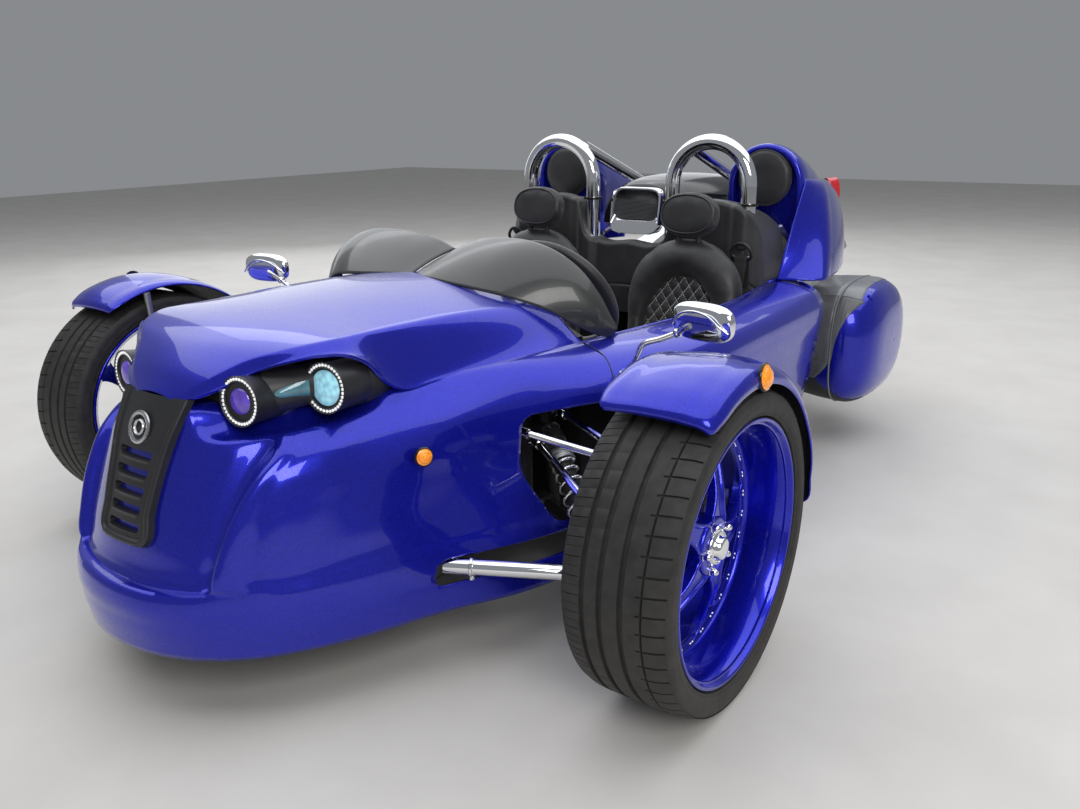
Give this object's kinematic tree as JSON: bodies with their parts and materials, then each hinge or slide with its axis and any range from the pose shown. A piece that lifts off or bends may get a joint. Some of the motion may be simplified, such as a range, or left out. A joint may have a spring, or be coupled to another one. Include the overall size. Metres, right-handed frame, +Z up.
{
  "type": "three wheeled roadster",
  "caption": "Open low roadster with steered front wheels on outboard suspension, one driven rear wheel, side cases and roll hoops.",
  "frame": {"origin": "on the ground under the middle of the car's length and width", "axes": "+X is the car's left, the nose faces -Y, +Z is up"},
  "size_m": [2.072, 3.4714, 1.0749],
  "materials": {
    "body_blue": "deep metallic royal blue clearcoat",
    "rim_blue": "mirror-like candy blue over polished metal",
    "satin_black": "satin black moulding",
    "black_leather": "black leather with white stitching",
    "wheel_leather": "black grained leather grip",
    "belt_webbing": "woven black belt",
    "chrome": "polished chrome plate",
    "frame_black": "black powder coat",
    "damper_black": "black coil spring with bright collar",
    "cast_alloy": "cast alloy",
    "bright_steel": "bright plated steel",
    "disc_steel": "ground steel",
    "tyre": "black tread rubber",
    "belt_rubber": "toothed black belt",
    "smoked_screen": "smoked clear plastic",
    "clear_lens": "clear lens over lamps",
    "lamp_amber": "amber and red lamp lenses"
  },
  "bodies": {
    "car": {"body_lamps": "lamp_amber", "body_shell": "body_blue", "dampers": "damper_black", "dashboard": "satin_black", "drive_belt": "belt_rubber", "engine": "cast_alloy", "engine_cover": "satin_black", "fender_stays": "satin_black", "floor_tub": "satin_black", "front_frame": "frame_black", "grille_panel": "satin_black", "head_pads": "black_leather", "headlamp_lenses": "clear_lens", "headlamp_pods": "satin_black", "hood": "body_blue", "hoop_stays": "body_blue", "intake_frame": "chrome", "mirrors": "chrome", "rear_bulkhead": "satin_black", "rear_fairings": "body_blue", "rear_fender": "body_blue", "rear_frame": "frame_black", "rear_haunches": "body_blue", "roll_hoops": "chrome", "seat_belts": "belt_webbing", "seats": "black_leather", "side_case_left": "body_blue", "side_case_right": "body_blue", "silencers": "chrome", "swingarm": "frame_black", "windscreens": "smoked_screen", "wishbones": "chrome"},
    "knuckle_left": {"knuckle_left": "cast_alloy", "fender_left": "body_blue"},
    "knuckle_right": {"knuckle_right": "cast_alloy", "fender_right": "body_blue"},
    "wheel_left": {"tyre_front_left": "tyre", "rim_front_left": "rim_blue", "disc_front_left": "disc_steel"},
    "wheel_right": {"tyre_front_right": "tyre", "rim_front_right": "rim_blue", "disc_front_right": "disc_steel"},
    "wheel_rear": {"tyre_rear": "tyre", "rim_rear": "rim_blue", "disc_rear": "disc_steel", "rear_pulley": "bright_steel"},
    "steering": {"steering_wheel": "wheel_leather"},
    "rack": {"tie_rods": "bright_steel"},
    "lid_left": {"case_lid_left": "body_blue"},
    "lid_right": {"case_lid_right": "body_blue"}
  },
  "joints": [
    {"name": "steer_left", "type": "hinge", "parent": "car", "child": "knuckle_left", "pos_m": [0.8, -1.019, 0.3275], "axis": [0, 0, 1], "range_deg": [-25, 25]},
    {"name": "steer_right", "type": "hinge", "parent": "car", "child": "knuckle_right", "pos_m": [-0.8, -1.019, 0.3275], "axis": [0, 0, 1], "range_deg": [-25, 25]},
    {"name": "spin_left", "type": "hinge", "parent": "knuckle_left", "child": "wheel_left", "pos_m": [0.908, -1.019, 0.3275], "axis": [1, 0, 0], "continuous": true},
    {"name": "spin_right", "type": "hinge", "parent": "knuckle_right", "child": "wheel_right", "pos_m": [-0.908, -1.019, 0.3275], "axis": [1, 0, 0], "continuous": true},
    {"name": "spin_rear", "type": "hinge", "parent": "car", "child": "wheel_rear", "pos_m": [0, 1.251, 0.332], "axis": [1, 0, 0], "continuous": true},
    {"name": "rack_slide", "type": "slide", "parent": "car", "child": "rack", "axis": [1, 0, 0], "range_m": [-0.05, 0.05]},
    {"name": "steering_turn", "type": "hinge", "parent": "car", "child": "steering", "pos_m": [0.27, -0.559, 0.682], "axis": [0, 0.8669, 0.4985], "range_deg": [-255, 255]},
    {"name": "lid_left_open", "type": "hinge", "parent": "car", "child": "lid_left", "pos_m": [0.655, 0.781, 0.118], "axis": [0, 1, 0], "range_deg": [0, 60]},
    {"name": "lid_right_open", "type": "hinge", "parent": "car", "child": "lid_right", "pos_m": [-0.655, 0.781, 0.118], "axis": [0, -1, 0], "range_deg": [0, 60]}
  ],
  "couplings": [
    {"joint": "steer_right", "follows": "steer_left", "ratio": 1},
    {"joint": "rack_slide", "follows": "steer_left", "m_per_rad": 0.104},
    {"joint": "steering_turn", "follows": "steer_left", "ratio": 10}
  ]
}
